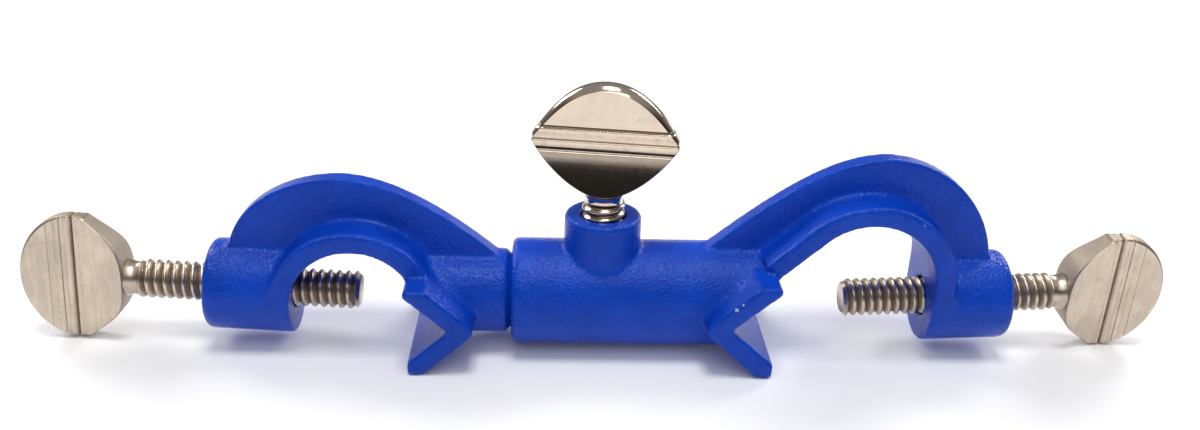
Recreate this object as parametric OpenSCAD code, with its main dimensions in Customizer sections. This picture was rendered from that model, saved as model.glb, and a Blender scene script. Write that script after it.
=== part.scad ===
// Swivel double boss head clamp.
// Two cast heads share one swivel axis, which runs along X. A spigot on the left head turns in
// a sleeve on the right head, and a lock screw holds it. Each head has an arched arm, a vee jaw
// and a threaded boss, whose thumb screw pushes a rod into the vee.
// The origin lies below the lock screw, on the surface that the jaws stand on.

/* [Swivel] */
// Height of the swivel axis above the feet
axis_h = 9.1; // [8.9:0.1:12]
// Diameter of the sleeve
sleeve_d = 17.4; // [16:0.1:17.6]
// Reach of the sleeve to the left of the lock screw
sleeve_reach = 14.6; // [11:0.1:18]
// Gap between the hub and the end of the sleeve
swivel_gap = 0.6; // [0.3:0.1:2]
// Diameter of the short hub beside the sleeve
hub_d = 13.8; // [13:0.1:17]
// Diameter of the spigot
spigot_d = 12; // [10:0.1:13]
// Radial running clearance round the spigot
spigot_clear = 0.05; // [0.02:0.01:0.1]
// Reach of the spigot past the lock screw
spigot_reach = 9; // [6:0.1:11]
// Depth of the groove that the lock screw seats in
groove_depth = 1.2; // [0.8:0.1:2]
// Gap on each side of the lock screw's point in the groove
groove_side_gap = 0.4; // [0.2:0.1:1]
// Diameter of the boss round the lock screw
lock_boss_d = 12.4; // [11:0.1:14]
// Height of that boss above the swivel axis
lock_boss_h = 14.1; // [12:0.1:16]
// Rounding on the edges of the bosses and the sleeve
cast_edge_r = 1; // [0.3:0.1:1.5]

/* [Arms] */
// Thickness of the upright web of an arm
web_t = 3.2; // [2.4:0.1:5]
// Width of the flange along the inside of an arm
flange_w = 15; // [13:0.1:18]
// Thickness of that flange
flange_t = 3.3; // [2.5:0.1:4]
// Diameter of a threaded boss
boss_d = 14.8; // [13:0.1:16.5]
// Length of a threaded boss
boss_l = 13.7; // [11:0.1:18]
// Rise of a rod screw towards its head
screw_rise = 2.8; // [0:0.1:4]
// Distance of the web's end from the throat side of the boss
web_over_boss = 10.3; // [8:0.1:11]

/* [Vee jaws] */
// Length of a jaw along the rod
jaw_l = 25; // [18:0.5:34]
// Thickness of a jaw
jaw_t = 3.1; // [2.4:0.1:4]
// Angle of each jaw face to the swivel axis
jaw_angle = 41; // [36:0.5:48]

/* [Left head] */
// Distance of the vee's bottom from the lock screw
left_reach = 24.2; // [22:0.1:32]
// Opening from the vee's bottom to the threaded boss
left_throat = 25.5; // [22:0.1:34]
// Height of the vee's bottom relative to the swivel axis
left_vee_z = -1.4; // [-2:0.1:0]
// Reach of the upper jaw lip from the vee's bottom
left_lip = 6.9; // [5:0.1:8]
// Reach of the lower jaw lip from the vee's bottom
left_toe = 6.5; // [5:0.1:8]
// Inner radius of the arch
left_arch_r = 10.1; // [8:0.1:12]
// Height of the arch's centre above the swivel axis
left_arch_z = -0.5; // [-1:0.1:6]
// Height of the web's crest above the swivel axis
left_crest_z = 19.8; // [17:0.1:26]

/* [Right head] */
// Distance of the vee's bottom from the lock screw
right_reach = 20.4; // [20:0.1:30]
// Opening from the vee's bottom to the threaded boss
right_throat = 33.2; // [30:0.1:42]
// Height of the vee's bottom relative to the swivel axis
right_vee_z = -0.5; // [-2:0.1:0]
// Reach of the upper jaw lip from the vee's bottom
right_lip = 7.5; // [5:0.1:9]
// Reach of the lower jaw lip from the vee's bottom
right_toe = 7; // [5:0.1:9]
// Inner radius of the arch
right_arch_r = 11; // [9:0.1:13]
// Height of the arch's centre above the swivel axis
right_arch_z = 4.6; // [-1:0.1:8]
// Height of the web's crest above the swivel axis
right_crest_z = 24.8; // [20:0.1:30]

/* [Screws] */
// Outer diameter of a rod screw's thread
rod_thread_d = 6.35; // [5:0.05:8]
// Outer diameter of the lock screw's thread
lock_thread_d = 7; // [5:0.05:8]
// Radial clearance of a thread in its hole
thread_clear = 0.06; // [0.02:0.01:0.1]
// Length of a rod screw from its point to its head
rod_screw_l = 37.4; // [32:0.1:46]
// Gap from the left screw's point to the vee's bottom, at rest
left_screw_gap = 15.1; // [12:0.1:18]
// Gap from the right screw's point to the vee's bottom, at rest
right_screw_gap = 19.9; // [16:0.1:23]
// Width of a rod screw's head
rod_head_w = 20.8; // [18:0.1:26]
// Width of the lock screw's head
lock_head_w = 23.4; // [18:0.1:28]
// Thickness of a screw head
head_t = 3.8; // [3.4:0.1:6]
// Rounding along the crown of a screw head
crown_edge_r = 1.5; // [0.5:0.1:1.6]
// Height of the lock screw's head above its boss
lock_head_gap = 3.9; // [2:0.1:8]
// Turn of the left screw's head, from upright
left_head_turn = -4.5; // [-90:0.5:90]
// Turn of the right screw's head, from upright
right_head_turn = 5; // [-90:0.5:90]
// Turn of the lock screw's head, from the swivel axis
lock_head_turn = -7.5; // [-90:0.5:90]

/* [Hidden] */
$fn = 96;

PAINT = "royalblue";
NICKEL = "lightgray";
cut = 1;                        // overrun of every cutting tool
curve_steps = 20;               // straight pieces in each half of a curved outline
corner_steps = 5;               // straight pieces in each rounded corner of a jaw

sleeve_r = sleeve_d / 2;
hub_r = hub_d / 2;
spigot_r = spigot_d / 2;
hub_start = sleeve_reach + swivel_gap;
bore_end_gap = 1;               // room past the end of the spigot
groove_r = spigot_r - groove_depth;

lock_point_r = 0.4 * lock_thread_d;
lock_seat_gap = 0.05;           // between the lock screw's point and the groove
lock_point_z = groove_r + lock_seat_gap;
lock_shoulder_z = spigot_r + spigot_clear + 0.35;
lock_head_z = lock_boss_h + lock_head_gap;
groove_w = 2 * (lock_point_r + groove_side_gap);

boss_r = boss_d / 2;
leg_inset = 0.06;               // step that keeps the leg's sides from just touching the arch
web_nose_inset = 0.6;           // from the hub's face to the nose of the left web
foot_flat = 2.5;                // length of a jaw's foot before its corners are rounded
lip_end = 1.1;                  // height of the blunt end of a jaw lip
lip_corner = 0.5;               // rounding of an upper lip's outer corner
foot_corner = 0.7;              // rounding of a foot's corners
back_corner = 2;                // rounding of the jaw's outer bend

// One head's own measures, in the order that the functions below read them.
LEFT = [left_reach, left_throat, left_vee_z, left_lip, left_toe, left_arch_r, left_arch_z,
        left_crest_z, hub_start + web_nose_inset, hub_r];
RIGHT = [right_reach, right_throat, right_vee_z, right_lip, right_toe, right_arch_r, right_arch_z,
         right_crest_z, right_reach - 4.4, sleeve_r];
function vee_x(h) = h[0];
function face_x(h) = h[0] + h[1];
function vee_z(h) = h[2];
function lip(h) = h[3];
function toe(h) = h[4];
function arch_r(h) = h[5];
function arch_z(h) = h[6];
function arch_x(h) = face_x(h) - arch_r(h);
function crest_z(h) = h[7];
function nose_x(h) = h[8];
function nose_r(h) = h[9];

// Points of a cubic curve from a to d, drawn towards b and c.
function curve(a, b, c, d) = [for (i = [0 : curve_steps])
    let (t = i / curve_steps, s = 1 - t)
    s * s * s * a + 3 * s * s * t * b + 3 * s * t * t * c + t * t * t * d];

// Outer outline of a web: up from its nose on the hub, over the crest, down onto the boss.
function web_outline(h) = let (
    nose = [nose_x(h), nose_r(h) - 0.8],
    crest = [face_x(h) - 0.9 * arch_r(h) + 1.3, crest_z(h)],
    end = [face_x(h) + web_over_boss, boss_r - 0.4],
    rise = crest[0] - nose[0],
    fall = end[0] - crest[0])
    concat(
        curve(nose, nose + 0.34 * rise * [1, 0.87], crest - [0.31 * rise, 0], crest),
        curve(crest, crest + [0.5 * fall, 0],
              end + [-0.05 * fall, 0.57 * (crest[1] - end[1])], end),
        [[end[0], 0], [nose[0], 0]]);

// Points that round off the corner at p, starting r before it and ending r past it.
function rounded(before, p, after, r) = let (
    a = p + r * (before - p) / norm(before - p),
    b = p + r * (after - p) / norm(after - p))
    [for (i = [0 : corner_steps]) let (t = i / corner_steps)
     (1 - t) * (1 - t) * a + 2 * t * (1 - t) * p + t * t * b];

// The jaw's faces leave the vee's bottom at jaw_angle, and its lips end in blunt flats.
function vee_rise(run) = run * tan(jaw_angle);
function lip_point(h) = [vee_x(h) + lip(h), vee_z(h) + vee_rise(lip(h))];
function toe_point(h) = [vee_x(h) + toe(h), vee_z(h) - vee_rise(toe(h))];
function back_x(h) = vee_x(h) - jaw_t / sin(jaw_angle);
function jaw_outline(h) = let (
    top = lip_point(h)[1] + lip_end,
    bend = [vee_x(h), vee_z(h)],
    lip_top = [lip_point(h)[0], top],
    shoulder = [back_x(h) + (top - vee_z(h)) / tan(jaw_angle), top],
    back = [back_x(h), vee_z(h)],
    heel = [toe_point(h)[0] - foot_flat, -axis_h],
    tip = [toe_point(h)[0], -axis_h])
    concat(
        [bend, lip_point(h)],
        rounded(lip_point(h), lip_top, shoulder, lip_corner),
        [shoulder],
        rounded(shoulder, back, heel, back_corner),
        rounded(back, heel, tip, foot_corner),
        rounded(heel, tip, toe_point(h), foot_corner),
        [toe_point(h)]);

// Where a straight leg from the jaw's lip runs into the arch, as an angle at the arch's centre.
function leg_vector(h) = lip_point(h) - [arch_x(h), arch_z(h)];
function leg_angle(h) = let (v = leg_vector(h), d = max(norm(v), arch_r(h) + 0.01))
    atan2(v[1], v[0]) - acos(arch_r(h) / d);
function leg_length(h) = sqrt(max(norm(leg_vector(h)) ^ 2 - arch_r(h) ^ 2, 0.01));

// Stands a flat outline up in the plane of the swivel axis, t thick along Y.
module upright(t) {
    rotate([90, 0, 0]) linear_extrude(t, center = true) children();
}

// A round bar along +Z with its far edge rounded.
module round_ended(r, length, edge) {
    rotate_extrude() {
        square([r - edge, length]);
        square([r, length - edge]);
        translate([r - edge, length - edge]) circle(edge, $fn = 48);
    }
}

// Places children that point along +Z onto a head's screw axis, with z = 0 at the throat face.
module on_screw_axis(h) {
    translate([face_x(h), 0, 0]) rotate([0, 90 - screw_rise, 0]) children();
}

// The space that stays open for a rod: the vee, the throat and the inside of the arch.
module throat_outline(h) {
    depth = axis_h + cut;
    translate([arch_x(h), arch_z(h)]) circle(arch_r(h));
    translate([arch_x(h) - arch_r(h), -depth]) square([2 * arch_r(h), depth + arch_z(h)]);
    polygon([[vee_x(h), vee_z(h)], lip_point(h), [arch_x(h), arch_z(h)],
             [arch_x(h), -depth], [toe_point(h)[0], -depth], toe_point(h)]);
    translate([arch_x(h), arch_z(h)]) rotate(leg_angle(h))
        square([arch_r(h) - leg_inset, leg_length(h)]);
}

// The band of the flange: an upright foot on the boss, the arch, and a leg down to the jaw.
module flange_outline(h) {
    outer = arch_r(h) + flange_t;
    leg_crossing = 1.3 * sqrt(2 * outer * leg_inset);
    difference() {
        union() {
            translate([face_x(h) - cut, 0]) square([flange_t + cut, max(arch_z(h), 0) + cut]);
            translate([arch_x(h), arch_z(h)]) {
                difference() {
                    circle(outer);
                    rotate(leg_angle(h)) translate([-2 * outer, leg_crossing])
                        square([4 * outer, 2 * outer]);
                    translate([-2 * outer, -2 * outer - arch_z(h)])
                        square([4 * outer, 2 * outer]);
                }
                rotate(leg_angle(h)) translate([0, -cut])
                    square([outer - leg_inset, leg_length(h) + cut]);
            }
        }
        throat_outline(h);
    }
}

module arm(h) {
    difference() {
        union() {
            upright(web_t) difference() {
                polygon(web_outline(h));
                throat_outline(h);
            }
            upright(flange_w) flange_outline(h);
            upright(jaw_l) polygon(jaw_outline(h));
            // The throat side of the boss is upright, flush with the flange.
            difference() {
                on_screw_axis(h) translate([0, 0, -cut])
                    round_ended(boss_r, boss_l + cut, cast_edge_r);
                upright(2 * boss_d) throat_outline(h);
            }
        }
        on_screw_axis(h) translate([0, 0, -2 * cut])
            cylinder(r = rod_thread_d / 2 + thread_clear, h = boss_l + 4 * cut);
    }
}

module spigot_head() {
    color(PAINT) translate([0, 0, axis_h]) mirror([1, 0, 0]) {
        arm(LEFT);
        difference() {
            translate([hub_start, 0, 0]) rotate([0, 90, 0])
                cylinder(r = hub_r, h = left_reach + left_lip - hub_start);
            upright(2 * hub_d) throat_outline(LEFT);
        }
        difference() {
            translate([-spigot_reach, 0, 0]) rotate([0, 90, 0])
                cylinder(r = spigot_r, h = spigot_reach + hub_start + cut);
            translate([-groove_w / 2, 0, 0]) rotate([0, 90, 0]) difference() {
                cylinder(r = spigot_r + cut, h = groove_w);
                translate([0, 0, -cut]) cylinder(r = groove_r, h = groove_w + 2 * cut);
            }
        }
    }
}

module sleeve_head() {
    color(PAINT) translate([0, 0, axis_h]) {
        arm(RIGHT);
        difference() {
            union() {
                difference() {
                    translate([right_reach + right_lip, 0, 0]) rotate([0, -90, 0])
                        round_ended(sleeve_r, right_reach + right_lip + sleeve_reach, cast_edge_r);
                    upright(2 * sleeve_d) throat_outline(RIGHT);
                }
                round_ended(lock_boss_d / 2, lock_boss_h, cast_edge_r / 2);
            }
            translate([-sleeve_reach - cut, 0, 0]) rotate([0, 90, 0])
                cylinder(r = spigot_r + spigot_clear,
                         h = sleeve_reach + cut + spigot_reach + bore_end_gap);
            cylinder(r = lock_thread_d / 2 + thread_clear, h = lock_boss_h + cut);
        }
    }
}

// Half outlines of screw heads of unit width, from the shank side to the crown.
ROD_HEAD = concat(
    curve([0, 0], [0.3, 0], [0.32, 0.095], [0.495, 0.3]),
    curve([0.5, 0.39], [0.525, 0.56], [0.33, 0.815], [0, 0.815]));
LOCK_HEAD = concat(
    curve([0, 0], [0.156, 0], [0.356, 0.133], [0.498, 0.356]),
    curve([0.494, 0.41], [0.408, 0.541], [0.254, 0.775], [0, 0.775]));
function mirrored(points) = [for (i = [len(points) - 2 : -1 : 1]) [-points[i][0], points[i][1]]];
GROOVES = [0.315, 0.395, 0.455];   // places of the finger grooves, up a head of unit width
groove_cut_r = 0.5;
groove_cut_depth = 0.3;

// A round plate of thickness t about the Y axis, with the edges of its rim rounded.
module rounded_plate(r, t, edge) {
    rotate([90, 0, 0]) rotate_extrude() {
        translate([0, -t / 2]) square([r - edge, t]);
        translate([0, edge - t / 2]) square([r, t - 2 * edge]);
        for (side = [-1, 1])
            translate([r - edge, side * (t / 2 - edge)]) circle(edge, $fn = 48);
    }
}

// A flat eye-shaped head with finger grooves on both sides, standing on z = 0. The rounding
// along its crown is the rim of a larger round plate, so it fades out towards the tips.
module screw_head(half, w) {
    crown = w * half[len(half) - 1][1];
    plate_r = 0.59 * w;
    difference() {
        intersection() {
            upright(head_t) polygon(w * concat(half, mirrored(half)));
            translate([0, 0, crown - plate_r]) rounded_plate(plate_r, head_t, crown_edge_r);
        }
        for (side = [-1, 1], place = GROOVES)
            translate([-w, side * (head_t / 2 + groove_cut_r - groove_cut_depth), w * place])
                rotate([0, 90, 0]) cylinder(r = groove_cut_r, h = 2 * w, $fn = 24);
    }
}

neck_l = 3.2;                   // plain neck between a thread and its head
point_bevel = 0.5;              // bevel round a screw's point

// A screw along +Z with its point at z = 0. The thread is a plain bar of its outer diameter.
module thumb_screw(thread_d, length, half, head_w, turn) {
    neck_r = 0.44 * thread_d;
    flare_r = 0.53 * thread_d;
    rotate_extrude() polygon([
        [0, 0],
        [thread_d / 2 - point_bevel, 0],
        [thread_d / 2, point_bevel],
        [thread_d / 2, length - neck_l],
        [neck_r, length - neck_l + 0.5],
        [neck_r, length - 0.4 * neck_l],
        [flare_r, length],
        [0, length + flare_r]]);
    translate([0, 0, length]) rotate([0, 0, turn]) screw_head(half, head_w);
}

// A rod screw on its head's axis, with its point the given gap from the vee's bottom.
module rod_screw(h, gap, turn) {
    color(NICKEL) translate([0, 0, axis_h]) on_screw_axis(h)
        translate([0, 0, gap - h[1]]) thumb_screw(rod_thread_d, rod_screw_l, ROD_HEAD, rod_head_w, turn);
}

module left_rod_screw() {
    mirror([1, 0, 0]) rod_screw(LEFT, left_screw_gap, left_head_turn);
}

module right_rod_screw() {
    rod_screw(RIGHT, right_screw_gap, right_head_turn);
}

module swivel_lock_screw() {
    color(NICKEL) translate([0, 0, axis_h]) {
        translate([0, 0, lock_point_z])
            cylinder(r = lock_point_r, h = lock_shoulder_z - lock_point_z + cut);
        translate([0, 0, lock_shoulder_z])
            thumb_screw(lock_thread_d, lock_head_z - lock_shoulder_z, LOCK_HEAD, lock_head_w,
                        lock_head_turn);
    }
}

spigot_head();
sleeve_head();
left_rod_screw();
right_rod_screw();
swivel_lock_screw();
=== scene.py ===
"""Boss head clamp: soft cast heads in blue paint, nickel thumb screws, on a pale table."""

import math

import bmesh
import bpy
from mathutils import Matrix, Vector


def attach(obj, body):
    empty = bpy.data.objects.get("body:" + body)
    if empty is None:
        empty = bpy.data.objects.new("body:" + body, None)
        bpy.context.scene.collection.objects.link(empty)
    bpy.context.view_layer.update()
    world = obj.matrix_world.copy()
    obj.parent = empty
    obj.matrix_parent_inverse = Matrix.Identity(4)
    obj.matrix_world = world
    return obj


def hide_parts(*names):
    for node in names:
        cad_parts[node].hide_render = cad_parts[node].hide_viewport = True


MM = 0.001
SAND_GRAIN = 0.36 * MM          # the finest detail that the castings keep
SHANK_EDGE = 0.34 * MM          # how far a screw head's edge is broken on its shank side
CREASE = math.radians(35)       # how far a crown curves in before it meets the flat face
SWELL_END = 0.38                # where a head stops thickening toward its root, of its width
POINT_BEVEL = 0.6 * MM          # how far back a screw's point begins to narrow
THREAD_DEPTH = 0.62 * MM
THREAD_PITCH = 1.45 * MM
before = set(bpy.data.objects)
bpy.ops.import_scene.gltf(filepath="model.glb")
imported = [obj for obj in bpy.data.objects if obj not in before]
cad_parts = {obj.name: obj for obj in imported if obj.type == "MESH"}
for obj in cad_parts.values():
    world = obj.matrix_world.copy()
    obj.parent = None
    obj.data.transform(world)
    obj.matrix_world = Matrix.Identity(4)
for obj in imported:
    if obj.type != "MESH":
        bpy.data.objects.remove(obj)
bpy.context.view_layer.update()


# ---------------------------------------------------------------- meshes

def finished(name, mesh, material, body, node):
    """Puts a mesh in the scene as a piece that stands for one CAD node."""
    piece = bpy.data.objects.new(name, mesh)
    bpy.context.scene.collection.objects.link(piece)
    mesh.materials.clear()
    mesh.materials.append(material)
    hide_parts(node)
    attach(piece, body)
    return piece


def baked(mesh, modifiers):
    """A new mesh with these modifiers applied: a list of (type, settings)."""
    holder = bpy.data.objects.new("holder", mesh)
    bpy.context.scene.collection.objects.link(holder)
    for kind, settings in modifiers:
        modifier = holder.modifiers.new(kind, kind)
        for key, value in settings.items():
            setattr(modifier, key, value)
    graph = bpy.context.evaluated_depsgraph_get()
    result = bpy.data.meshes.new_from_object(holder.evaluated_get(graph))
    bpy.data.objects.remove(holder)
    return result


def casting_mesh(cad_node):
    """A casting's CAD solid with all its corners melted into the soft fillets of sand casting."""
    bm = bmesh.new()
    bm.from_mesh(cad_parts[cad_node].data)
    bmesh.ops.remove_doubles(bm, verts=bm.verts, dist=1e-6)
    bmesh.ops.recalc_face_normals(bm, faces=bm.faces)
    solid = bpy.data.meshes.new(cad_node + "_solid")
    bm.to_mesh(solid)
    bm.free()
    return baked(solid, [
        ("REMESH", {"mode": "VOXEL", "voxel_size": SAND_GRAIN, "use_smooth_shade": True}),
        ("SMOOTH", {"factor": 0.5, "iterations": 9}),
    ])


def cubic(a, b, c, d, steps):
    """Points of a cubic curve from a to d, drawn towards b and c."""
    points = []
    for i in range(steps + 1):
        t = i / steps
        s = 1 - t
        points.append(tuple(
            s * s * s * p + 3 * s * s * t * q + 3 * s * t * t * r + t * t * t * u
            for p, q, r, u in zip(a, b, c, d)))
    return points


def half_outline(shank, crown, steps=18):
    """Half of a head's outline, from its shank side over its tip to the top of its crown."""
    return cubic(*shank, steps) + cubic(*crown, steps)


def spun(bm, profile, steps=64):
    """Turns a profile of (radius, height) points round Z."""
    line = [bm.verts.new((r, 0, z)) for r, z in profile]
    edges = [bm.edges.new(pair) for pair in zip(line, line[1:])]
    bmesh.ops.spin(bm, geom=line + edges, cent=(0, 0, 0), axis=(0, 0, 1), dvec=(0, 0, 0),
                   angle=math.tau, steps=steps, use_merge=True, use_duplicate=False)


def threaded_bar(radius, depth, pitch, low, high, point):
    """A bar from low to high with a rolled thread: broad rounded crests over narrow roots."""
    bm = bmesh.new()
    recess = bm.verts.layers.float.new("recess")
    per_turn, steps = 12, 48
    turns = math.ceil((high - low) / pitch) + 2
    line = []
    for i in range(turns * per_turn + 1):
        sink = (0.5 - 0.5 * math.cos(math.tau * i / per_turn)) ** 1.25
        vert = bm.verts.new((radius - depth * sink, 0, low - 1.5 * pitch + i * pitch / per_turn))
        # recess: how deep this point lies in a thread root, where the nickel paints shade with
        # grime.
        vert[recess] = sink
        line.append(vert)
    edges = [bm.edges.new(pair) for pair in zip(line, line[1:])]
    bmesh.ops.spin(bm, geom=line + edges, cent=(0, 0, 0), axis=(0, 0, 1),
                   dvec=(0, 0, pitch / steps), angle=math.tau, steps=steps,
                   use_merge=False, use_duplicate=False)
    bmesh.ops.remove_doubles(bm, verts=bm.verts, dist=2e-6)
    for height, direction in ((low, -1), (high, 1)):
        geom = bm.verts[:] + bm.edges[:] + bm.faces[:]
        bmesh.ops.bisect_plane(bm, geom=geom, dist=1e-7, plane_co=(0, 0, height),
                               plane_no=(0, 0, direction), clear_outer=True)
        rim = [e for e in bm.edges if e.is_boundary
               and all(abs(v.co.z - height) < 1e-6 for v in e.verts)]
        bmesh.ops.edgeloop_fill(bm, edges=rim)
    for vert in bm.verts:
        limit = radius - max(point - (vert.co.z - low), 0) - 0.15 * MM
        run = math.hypot(vert.co.x, vert.co.y)
        if vert.co.z < low + point and run > limit:
            vert.co.x *= limit / run
            vert.co.y *= limit / run
    bmesh.ops.recalc_face_normals(bm, faces=bm.faces)
    return bm


def flat_head(half, width, thick, root_thick, crown_edge, grooves):
    """A cast wing head, standing on z = 0 in the XZ plane, with grooves for the fingers.

    It is thickest where it meets the shank, its crown is rounded over, and its shank side
    keeps a crisp edge. Each groove is (how far up it lies, as a share of the width, half its
    width, its depth, how much painted shade and dirt it holds)."""
    bm = bmesh.new()
    recess = bm.verts.layers.float.new("recess")
    edge_wear = bm.verts.layers.float.new("edge_wear")
    outline = [Vector((x * width, 0, z * width)) for x, z in half]
    outline += [Vector((-p.x, 0, p.z)) for p in reversed(outline[1:-1])]
    count = len(outline)
    top = outline[len(half) - 1].z
    tip_z = max(outline, key=lambda p: p.x).z
    normals = []
    for i, p in enumerate(outline):
        along = outline[(i + 1) % count] - outline[i - 1]
        normals.append(Vector((along.z, 0, -along.x)).normalized())
    rounding = []
    for p in outline:
        over = min(max((p.z - tip_z) / (top - tip_z), 0), 1)
        rounding.append(SHANK_EDGE + (crown_edge - SHANK_EDGE) * over ** 0.6)
    rings = []
    steps = 6
    for k in range(steps + 2):
        angle = min(k / steps, 1) * CREASE
        support = 0.12 * MM if k > steps else 0
        inset = (1 - math.cos(angle)) / (1 - math.cos(CREASE))
        rise = math.sin(angle) / math.sin(CREASE)
        rings.append([
            (p - n * (0.6 * e * inset + support), thick / 2 - e + e * rise)
            for p, n, e in zip(outline, normals, rounding)])
    loops = [[(p, -y) for p, y in ring] for ring in reversed(rings)] + rings
    first = [bm.verts.new((p.x, y, p.z)) for p, y in loops[0]]
    bm.faces.new(first)
    ring_edges = [bm.edges.get((first[i], first[(i + 1) % count])) for i in range(count)]
    current = first
    for ring in loops[1:]:
        made = bmesh.ops.extrude_edge_only(bm, edges=ring_edges)["geom"]
        fresh = [g for g in made if isinstance(g, bmesh.types.BMVert)]
        partner = {}
        for vert in fresh:
            for edge in vert.link_edges:
                other = edge.other_vert(vert)
                if other not in fresh:
                    partner[other] = vert
        current = [partner[v] for v in current]
        for vert, (p, y) in zip(current, ring):
            vert.co = (p.x, y, p.z)
            vert[edge_wear] = 1.0 if abs(y) < thick / 2 - 0.1 * MM else 0.0
        ring_edges = [bm.edges.get((current[i], current[(i + 1) % count]))
                      for i in range(count)]
    bmesh.ops.edgeloop_fill(bm, edges=ring_edges)

    def slice_at(height):
        geom = bm.verts[:] + bm.edges[:] + bm.faces[:]
        bmesh.ops.bisect_plane(bm, geom=geom, dist=1e-6, plane_co=(0, 0, height),
                               plane_no=(0, 0, 1))

    root_end = SWELL_END * width
    for i in range(1, 13):
        slice_at(root_end * i / 12)
    for place, half_w, _, _ in grooves:
        for share in (-1.35, -1, -0.6, -0.3, 0, 0.3, 0.6, 1, 1.35):
            slice_at(place * width + share * half_w)
    for vert in bm.verts:
        z = vert.co.z
        swell = max(1 - z / root_end, 0) ** 1.5
        vert.co.y *= 1 + (root_thick / thick - 1) * swell
        # A groove's last value sets how much painted shade and dirt the nickel puts down in it.
        for place, half_w, depth, shade_and_dirt in grooves:
            share = abs(z - place * width) / half_w
            if share < 1:
                sink = (0.5 + 0.5 * math.cos(math.pi * share)) ** 0.8
                vert.co.y -= math.copysign(depth * sink, vert.co.y)
                vert[recess] = max(vert[recess], sink * shade_and_dirt)
    bmesh.ops.recalc_face_normals(bm, faces=bm.faces)
    return bm


def screw_mesh(name, place, thread, length, neck, head):
    """A one-piece thumb screw along +Z with its point at z = 0, moved to its place."""
    whole = bmesh.new()
    bar = threaded_bar(thread / 2, THREAD_DEPTH, THREAD_PITCH, 0, length - neck, POINT_BEVEL)
    top = flat_head(**head)
    bmesh.ops.translate(top, vec=(0, 0, length), verts=top.verts)
    stem = bmesh.new()
    r = thread / 2
    spun(stem, [(0, length - neck - 0.5 * MM), (0.8 * r, length - neck - 0.5 * MM),
                (0.86 * r, length - neck), (0.9 * r, length - neck + 0.2 * MM),
                (0.86 * r, length - neck + 0.5 * MM), (0.86 * r, length - 1.0 * MM),
                (0.91 * r, length - 0.5 * MM), (0.97 * r, length - 0.1 * MM),
                (0.95 * r, length + 0.15 * MM), (0.6 * r, length + 0.6 * MM),
                (0, length + 0.9 * MM)])
    bmesh.ops.remove_doubles(stem, verts=stem.verts, dist=1e-7)
    bmesh.ops.recalc_face_normals(stem, faces=stem.faces)
    mesh = bpy.data.meshes.new(name)
    for part in (bar, top, stem):
        for layer in ("recess", "edge_wear"):
            if layer not in part.verts.layers.float:
                part.verts.layers.float.new(layer)
        scratch = bpy.data.meshes.new("scratch")
        part.to_mesh(scratch)
        part.free()
        whole.from_mesh(scratch)
        bpy.data.meshes.remove(scratch)
    bmesh.ops.transform(whole, matrix=place, verts=whole.verts)
    for face in whole.faces:
        face.smooth = True
    whole.to_mesh(mesh)
    whole.free()
    mesh.set_sharp_from_angle(angle=math.radians(38))
    return baked(mesh, [("WEIGHTED_NORMAL", {"keep_sharp": True})])


# ---------------------------------------------------------------- shader groups

def group(name, inputs, outputs):
    """An empty shader node group with float inputs (name, default) and outputs (name, type)."""
    tree = bpy.data.node_groups.new(name, "ShaderNodeTree")
    for label, default in inputs:
        socket = tree.interface.new_socket(label, in_out="INPUT", socket_type="NodeSocketFloat")
        socket.default_value = default
    for label, kind in outputs:
        tree.interface.new_socket(label, in_out="OUTPUT", socket_type=kind)
    return tree, tree.nodes.new("NodeGroupInput"), tree.nodes.new("NodeGroupOutput")


def node(tree, kind, settings=None, **inputs):
    """A shader node with its settings and inputs: numbers go on sockets, sockets are linked.

    An input goes by its label, or by its place in the list as i0, i1 and so on."""
    made = tree.nodes.new(kind)
    for key, value in (settings or {}).items():
        setattr(made, key, value)
    for key, value in inputs.items():
        label = key.replace("_", " ")
        socket = made.inputs[int(key[1:])] if key[0] == "i" and key[1:].isdigit() \
            else made.inputs[label]
        if isinstance(value, bpy.types.NodeSocket):
            tree.links.new(value, socket)
        else:
            socket.default_value = value
    return made


def math_node(tree, operation, a, b):
    """One sum on two values."""
    return node(tree, "ShaderNodeMath", {"operation": operation}, i0=a, i1=b).outputs[0]


def mix_colour(tree, share, a, b):
    """One colour faded into another."""
    made = node(tree, "ShaderNodeMix", {"data_type": "RGBA"})
    for socket, value in ((made.inputs[0], share), (made.inputs[6], a), (made.inputs[7], b)):
        if isinstance(value, bpy.types.NodeSocket):
            tree.links.new(value, socket)
        else:
            socket.default_value = value
    return made.outputs[2]


def ramp(tree, value, low, high):
    """0 below low and 1 above high, smooth between."""
    return node(tree, "ShaderNodeMapRange", {"interpolation_type": "SMOOTHSTEP"},
                i0=value, i1=low, i2=high, i3=0.0, i4=1.0).outputs[0]


def noise(tree, vector, scale, detail=2.0, rough=0.5):
    """A cloudy value around 0.5, finer with a larger scale."""
    return node(tree, "ShaderNodeTexNoise", Vector=vector, Scale=scale, Detail=detail,
                Roughness=rough).outputs["Fac"]


def brushing_group():
    """Fine brushing along Z: streaks that change the height and the gloss."""
    tree, source, result = group(
        "brushing", [("Across", 9000.0), ("Along", 260.0)],
        [("Height", "NodeSocketFloat"), ("Gloss", "NodeSocketFloat")])
    coords = node(tree, "ShaderNodeTexCoord").outputs["Object"]
    split = node(tree, "ShaderNodeSeparateXYZ", Vector=coords)
    wide = math_node(tree, "MULTIPLY", split.outputs["X"], source.outputs["Across"])
    deep = math_node(tree, "MULTIPLY", split.outputs["Y"], source.outputs["Across"])
    long = math_node(tree, "MULTIPLY", split.outputs["Z"], source.outputs["Along"])
    stretched = node(tree, "ShaderNodeCombineXYZ", X=wide, Y=deep, Z=long).outputs[0]
    fine = noise(tree, stretched, 1.0, 3.0, 0.6)
    broad = noise(tree, stretched, 0.22, 2.0, 0.5)
    height = math_node(tree, "ADD", math_node(tree, "MULTIPLY", fine, 0.6),
                       math_node(tree, "MULTIPLY", broad, 0.4))
    tree.links.new(height, result.inputs["Height"])
    tree.links.new(broad, result.inputs["Gloss"])
    return tree


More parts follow.
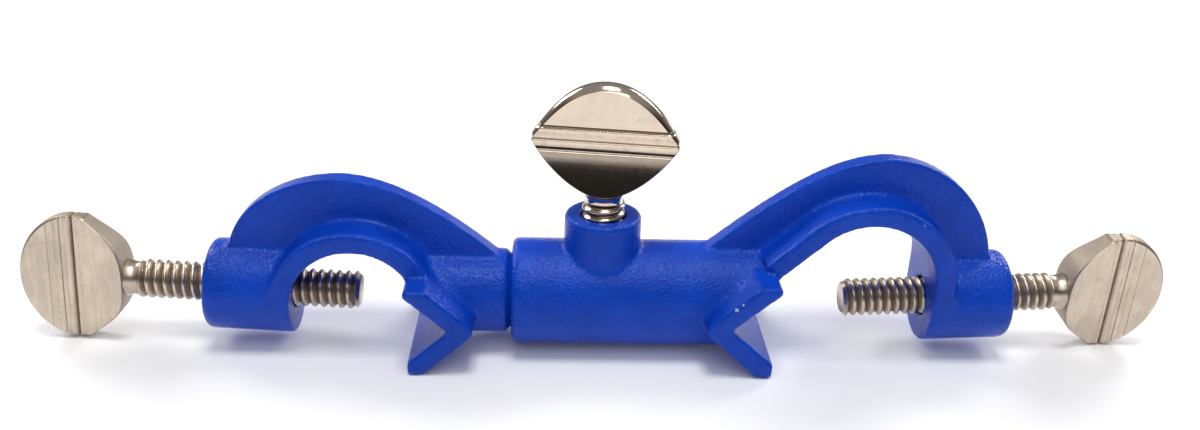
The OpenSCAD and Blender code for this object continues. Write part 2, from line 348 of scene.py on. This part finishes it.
def pits_group():
    """Small pits and a slow wave, as on plated or painted castings."""
    tree, source, result = group(
        "pits", [("Size", 1400.0), ("Wave", 0.5)],
        [("Height", "NodeSocketFloat"), ("Speckle", "NodeSocketFloat")])
    coords = node(tree, "ShaderNodeTexCoord").outputs["Object"]
    small = noise(tree, coords, source.outputs["Size"], 2.0, 0.55)
    wave = noise(tree, coords, 210.0, 1.0, 0.4)
    mixed = math_node(tree, "ADD", small,
                      math_node(tree, "MULTIPLY", wave, source.outputs["Wave"]))
    tree.links.new(mixed, result.inputs["Height"])
    specks = noise(tree, coords, 620.0, 2.0, 0.6)
    tree.links.new(ramp(tree, specks, 0.62, 0.74), result.inputs["Speckle"])
    return tree


BRUSHING = brushing_group()
PITS = pits_group()


def placed(tree, shared, **values):
    """One of the shared groups used in a material, with its own settings."""
    made = node(tree, "ShaderNodeGroup")
    made.node_tree = shared
    for key, value in values.items():
        made.inputs[key].default_value = value
    return made


# ---------------------------------------------------------------- materials

def new_material(name):
    """A new material, its tree and its main shader."""
    material = bpy.data.materials.new(name)
    material.use_nodes = True
    return material, material.node_tree, material.node_tree.nodes["Principled BSDF"]


def spots(tree, coords, places):
    """A mask of small ragged chips at these places, each (x, y, z, radius) in millimetres."""
    ragged = math_node(tree, "MULTIPLY", noise(tree, coords, 2600.0, 2.0), 0.0006)
    total = None
    for x, y, z, radius in places:
        away = node(tree, "ShaderNodeVectorMath", {"operation": "DISTANCE"}, i0=coords,
                    i1=(x * MM, y * MM, z * MM)).outputs["Value"]
        inside = ramp(tree, math_node(tree, "ADD", away, ragged),
                      (radius + 0.36) * MM, (radius + 0.22) * MM)
        total = inside if total is None else math_node(tree, "MAXIMUM", total, inside)
    return total


def blue_paint():
    """Royal blue stoving paint over a sand casting, with a few chips down to the primer.

    The paint's sheen is held back where it is seen nearly edge on."""
    material, tree, shader = new_material("royal_blue_paint")
    coords = node(tree, "ShaderNodeTexCoord").outputs["Object"]
    skin = placed(tree, PITS, Size=2300.0, Wave=0.4)
    depth_change = ramp(tree, noise(tree, coords, 130.0, 3.0, 0.6), 0.3, 0.7)
    blue = mix_colour(tree, depth_change, (0.002, 0.045, 0.43, 1), (0.003, 0.056, 0.53, 1))
    chips = spots(tree, coords, [
        (20.7, -12.4, 12.6, 0.34), (21.7, -12.4, 13.5, 0.22), (19.9, -12.4, 12.2, 0.12),
        (40.6, -7.3, 27.4, 0.12), (49.9, -7.3, 25.2, 0.16), (52.6, -7.4, 15.6, 0.14)])
    colour = mix_colour(tree, chips, blue, (0.5, 0.56, 0.72, 1))
    tree.links.new(colour, shader.inputs["Base Color"])
    gloss = math_node(tree, "ADD", 0.12, math_node(tree, "MULTIPLY", depth_change, 0.06))
    gloss = math_node(tree, "ADD", gloss, math_node(tree, "MULTIPLY", chips, 0.35))
    tree.links.new(gloss, shader.inputs["Roughness"])
    facing = node(tree, "ShaderNodeLayerWeight", Blend=0.5).outputs["Facing"]
    sheen = math_node(tree, "SUBTRACT", 0.34,
                      math_node(tree, "MULTIPLY", math_node(tree, "POWER", facing, 2.5), 0.32))
    tree.links.new(sheen, shader.inputs["Specular IOR Level"])
    shader.inputs["Specular Tint"].default_value = (0.5, 0.66, 1.0, 1)
    height = math_node(tree, "SUBTRACT", skin.outputs["Height"],
                       math_node(tree, "MULTIPLY", chips, 1.2))
    bump = node(tree, "ShaderNodeBump", Strength=1.0, Distance=0.2 * MM, Height=height)
    tree.links.new(bump.outputs["Normal"], shader.inputs["Normal"])
    return material


def nickel(name, face_rough, streak, edge_dull, light, dark):
    """Nickel plate on brass: bright crests, brown painted shade with grime down in the recesses,
    dull edges.
    """
    material, tree, shader = new_material(name)
    coords = node(tree, "ShaderNodeTexCoord").outputs["Object"]
    deep = node(tree, "ShaderNodeAttribute", {"attribute_name": "recess"}).outputs["Fac"]
    edge = node(tree, "ShaderNodeAttribute", {"attribute_name": "edge_wear"}).outputs["Fac"]
    brush = placed(tree, BRUSHING)
    pits = placed(tree, PITS, Size=2400.0, Wave=0.4)
    # The recess attribute darkens thread roots and grooves by their depth: painted shade, mixed
    # with blotchy dirt from the noise.
    shade_and_dirt = math_node(tree, "ADD", deep,
                     math_node(tree, "MULTIPLY", noise(tree, coords, 1300.0, 3.0, 0.6), 0.5))
    shade_and_grime = ramp(tree, shade_and_dirt, 0.45, 1.25)
    tone = ramp(tree, noise(tree, coords, 240.0, 3.0, 0.6), 0.3, 0.7)
    plate = mix_colour(tree, tone, light, dark)
    drawn = math_node(tree, "MULTIPLY", ramp(tree, brush.outputs["Gloss"], 0.38, 0.62),
                      streak * 0.6)
    plate = mix_colour(tree, drawn, plate, (0.3, 0.25, 0.2, 1))
    speck = math_node(tree, "MULTIPLY", pits.outputs["Speckle"], 0.25)
    plate = mix_colour(tree, speck, plate, (0.25, 0.2, 0.14, 1))
    plate = mix_colour(tree, math_node(tree, "MULTIPLY", edge, edge_dull), plate,
                       (0.33, 0.28, 0.23, 1))
    # Brown painted shade with grime in the recesses.
    colour = mix_colour(tree, shade_and_grime, plate, (0.24, 0.18, 0.115, 1))
    tree.links.new(colour, shader.inputs["Base Color"])
    shader.inputs["Metallic"].default_value = 1.0
    rough = math_node(tree, "ADD", face_rough,
                      math_node(tree, "MULTIPLY", brush.outputs["Gloss"], streak))
    rough = math_node(tree, "ADD", rough, math_node(tree, "MULTIPLY", shade_and_grime, 0.2))
    rough = math_node(tree, "ADD", rough,
                      math_node(tree, "MULTIPLY", edge, 0.3 * edge_dull))
    tree.links.new(rough, shader.inputs["Roughness"])
    height = math_node(tree, "ADD",
                       math_node(tree, "MULTIPLY", brush.outputs["Height"], streak * 4),
                       math_node(tree, "MULTIPLY", pits.outputs["Height"], 0.35))
    bump = node(tree, "ShaderNodeBump", Strength=0.35, Distance=0.02 * MM, Height=height)
    tree.links.new(bump.outputs["Normal"], shader.inputs["Normal"])
    return material


def table_top():
    """A pale matt table that gives off a faint glow of its own: painted light that lifts the
    shadows on it.
    """
    material, tree, shader = new_material("pale_table")
    coords = node(tree, "ShaderNodeTexCoord").outputs["Object"]
    cloud = ramp(tree, noise(tree, coords, 26.0, 3.0, 0.6), 0.3, 0.75)
    colour = mix_colour(tree, cloud, (0.93, 0.93, 0.94, 1), (0.96, 0.96, 0.965, 1))
    tree.links.new(colour, shader.inputs["Base Color"])
    shader.inputs["Roughness"].default_value = 0.6
    shader.inputs["Specular IOR Level"].default_value = 0.15
    # A faint glow of the table's own: painted light that fills the shadows on it.
    shader.inputs["Emission Color"].default_value = (0.97, 0.97, 1.0, 1)
    shader.inputs["Emission Strength"].default_value = 0.05
    return material


PAINT = blue_paint()
SATIN_NICKEL = nickel("satin_nickel", 0.22, 0.22, 0.75, (0.66, 0.56, 0.46, 1),
                      (0.55, 0.465, 0.38, 1))
BRIGHT_NICKEL = nickel("bright_nickel", 0.08, 0.05, 0.0, (0.72, 0.6, 0.49, 1),
                       (0.64, 0.53, 0.43, 1))


# ---------------------------------------------------------------- the clamp

AXIS_H = 9.1 * MM
RISE = math.radians(2.8)
ROD_OUTLINE = half_outline(
    ((0, 0), (0.3, 0), (0.32, 0.095), (0.495, 0.3)),
    ((0.5, 0.39), (0.525, 0.56), (0.33, 0.815), (0, 0.815)))
LOCK_OUTLINE = half_outline(
    ((0, 0), (0.156, 0), (0.356, 0.133), (0.498, 0.356)),
    ((0.494, 0.41), (0.408, 0.541), (0.254, 0.775), (0, 0.775)))
# In both heads, each groove's last number is how much painted shade and dirt darkens it.
ROD_HEAD = {
    "half": ROD_OUTLINE, "width": 20.7 * MM, "thick": 2.7 * MM, "root_thick": 6.6 * MM,
    "crown_edge": 0.75 * MM,
    "grooves": [(0.395, 0.42 * MM, 0.36 * MM, 0.95), (0.345, 0.3 * MM, 0.07 * MM, 0.4),
                (0.45, 0.35 * MM, 0.07 * MM, 0.42), (0.485, 0.14 * MM, 0.09 * MM, 0.8),
                (0.53, 0.6 * MM, 0.07 * MM, 0.42), (0.585, 0.16 * MM, 0.07 * MM, 0.65)]}
LOCK_HEAD = {
    "half": LOCK_OUTLINE, "width": 23.3 * MM, "thick": 3.7 * MM, "root_thick": 7.3 * MM,
    "crown_edge": 1.75 * MM,
    "grooves": [(0.463, 0.36 * MM, 0.34 * MM, 0.95), (0.378, 0.24 * MM, 0.16 * MM, 0.8),
                (0.3, 0.2 * MM, 0.12 * MM, 0.75), (0.42, 0.8 * MM, 0.06 * MM, 0.44),
                (0.338, 0.75 * MM, 0.05 * MM, 0.38)]}
ROD_SCREW = {"thread": 6.3 * MM, "length": 37.4 * MM, "neck": 2.3 * MM, "head": ROD_HEAD}
LOCK_SCREW = {"thread": 6.95 * MM, "length": 11.6 * MM, "neck": 1.9 * MM, "head": LOCK_HEAD}
LOCK_POINT_Z = 15.5 * MM
LOCK_TURN = math.radians(-7.5)


def rod_screw_place(side, face_x, point, turn):
    """Where a rod screw's own axes go: side is -1 for the left head and 1 for the right.

    The screw passes its boss's inner face at face_x and reaches in past it by point."""
    return (Matrix.Translation((side * face_x, 0, AXIS_H))
            @ Matrix.Rotation(side * (math.pi / 2 - RISE), 4, "Y")
            @ Matrix.Translation((0, 0, -point))
            @ Matrix.Rotation(math.radians(turn), 4, "Z"))


spigot_casting = finished("spigot_casting", casting_mesh("spigot_head"), PAINT,
                          "spigot_head", "spigot_head")
sleeve_casting = finished("sleeve_casting", casting_mesh("sleeve_head"), PAINT,
                          "sleeve_head", "sleeve_head")
left_thumb_screw = finished(
    "left_thumb_screw",
    screw_mesh("left_thumb_screw", rod_screw_place(-1, 49.7 * MM, 10.4 * MM, 4.5), **ROD_SCREW),
    SATIN_NICKEL, "left_rod_screw", "left_rod_screw")
right_thumb_screw = finished(
    "right_thumb_screw",
    screw_mesh("right_thumb_screw", rod_screw_place(1, 53.6 * MM, 13.3 * MM, 5), **ROD_SCREW),
    SATIN_NICKEL, "right_rod_screw", "right_rod_screw")
lock_thumb_screw = finished(
    "lock_thumb_screw",
    screw_mesh("lock_thumb_screw", Matrix.Translation((0, 0, LOCK_POINT_Z))
               @ Matrix.Rotation(LOCK_TURN, 4, "Z"), **LOCK_SCREW),
    BRIGHT_NICKEL, "lock_screw", "swivel_lock_screw")


# ---------------------------------------------------------------- table, light and camera

def table():
    """A wide flat table top at the clamp's feet."""
    bm = bmesh.new()
    bmesh.ops.create_grid(bm, x_segments=8, y_segments=8, size=3.0)
    mesh = bpy.data.meshes.new("table")
    bm.to_mesh(mesh)
    bm.free()
    mesh.materials.append(table_top())
    top = bpy.data.objects.new("table", mesh)
    bpy.context.scene.collection.objects.link(top)


def softbox(name, place, target, size, power):
    """A white rectangular lamp that faces a target."""
    light = bpy.data.lights.new(name, "AREA")
    light.shape = "RECTANGLE"
    light.size, light.size_y = size
    light.energy = power
    lamp = bpy.data.objects.new(name, light)
    lamp.location = place
    lamp.rotation_euler = (Vector(target) - Vector(place)).to_track_quat("-Z", "Y").to_euler()
    bpy.context.scene.collection.objects.link(lamp)


def studio_world():
    """A white studio that is bright behind the table and dim on the near side."""
    world = bpy.data.worlds.new("studio")
    world.use_nodes = True
    tree = world.node_tree
    back = tree.nodes["Background"]
    way = node(tree, "ShaderNodeSeparateXYZ",
               Vector=node(tree, "ShaderNodeTexCoord").outputs["Generated"])
    behind = ramp(tree, way.outputs["Y"], -0.55, 0.5)
    above = ramp(tree, way.outputs["Z"], 0.42, 0.75)
    level = math_node(tree, "MAXIMUM", math_node(tree, "MULTIPLY", behind, 0.7), above)
    level = math_node(tree, "ADD", 0.02, math_node(tree, "MULTIPLY", level, 0.32))
    tree.links.new(level, back.inputs["Strength"])
    back.inputs["Color"].default_value = (1.0, 0.99, 0.985, 1)
    bpy.context.scene.world = world


def camera():
    """Looks down on the clamp from its near side, turned a little to the right."""
    lens = bpy.data.cameras.new("camera")
    lens.sensor_fit = "HORIZONTAL"
    lens.sensor_width = 36
    lens.lens = 33.49
    lens.clip_start = 0.01
    lens.clip_end = 20
    eye = bpy.data.objects.new("camera", lens)
    yaw, pitch, roll = (math.radians(a) for a in (2.798, 24.265, 2.113))
    eye.matrix_world = (Matrix.Translation((-8.505 * MM, -163.63 * MM, 96.7 * MM))
                        @ Matrix.Rotation(-yaw, 4, "Z")
                        @ Matrix.Rotation(math.pi / 2 - pitch, 4, "X")
                        @ Matrix.Rotation(roll, 4, "Z"))
    bpy.context.scene.collection.objects.link(eye)
    bpy.context.scene.camera = eye


table()
softbox("back_left", (-0.55, 0.45, 0.5), (0, 0, 0.01), (0.3, 0.3), 3.0)
softbox("back_right", (0.5, 0.5, 0.45), (0, 0, 0.01), (0.3, 0.3), 2.8)
softbox("overhead", (0, -0.12, 0.8), (0, -0.05, 0), (0.24, 0.24), 3.1)
softbox("near_fill", (0, -0.6, 0.75), (0, 0, 0), (0.7, 0.5), 1.8)
studio_world()
camera()
view = bpy.context.scene.view_settings
view.view_transform = "Standard"
view.look = "None"
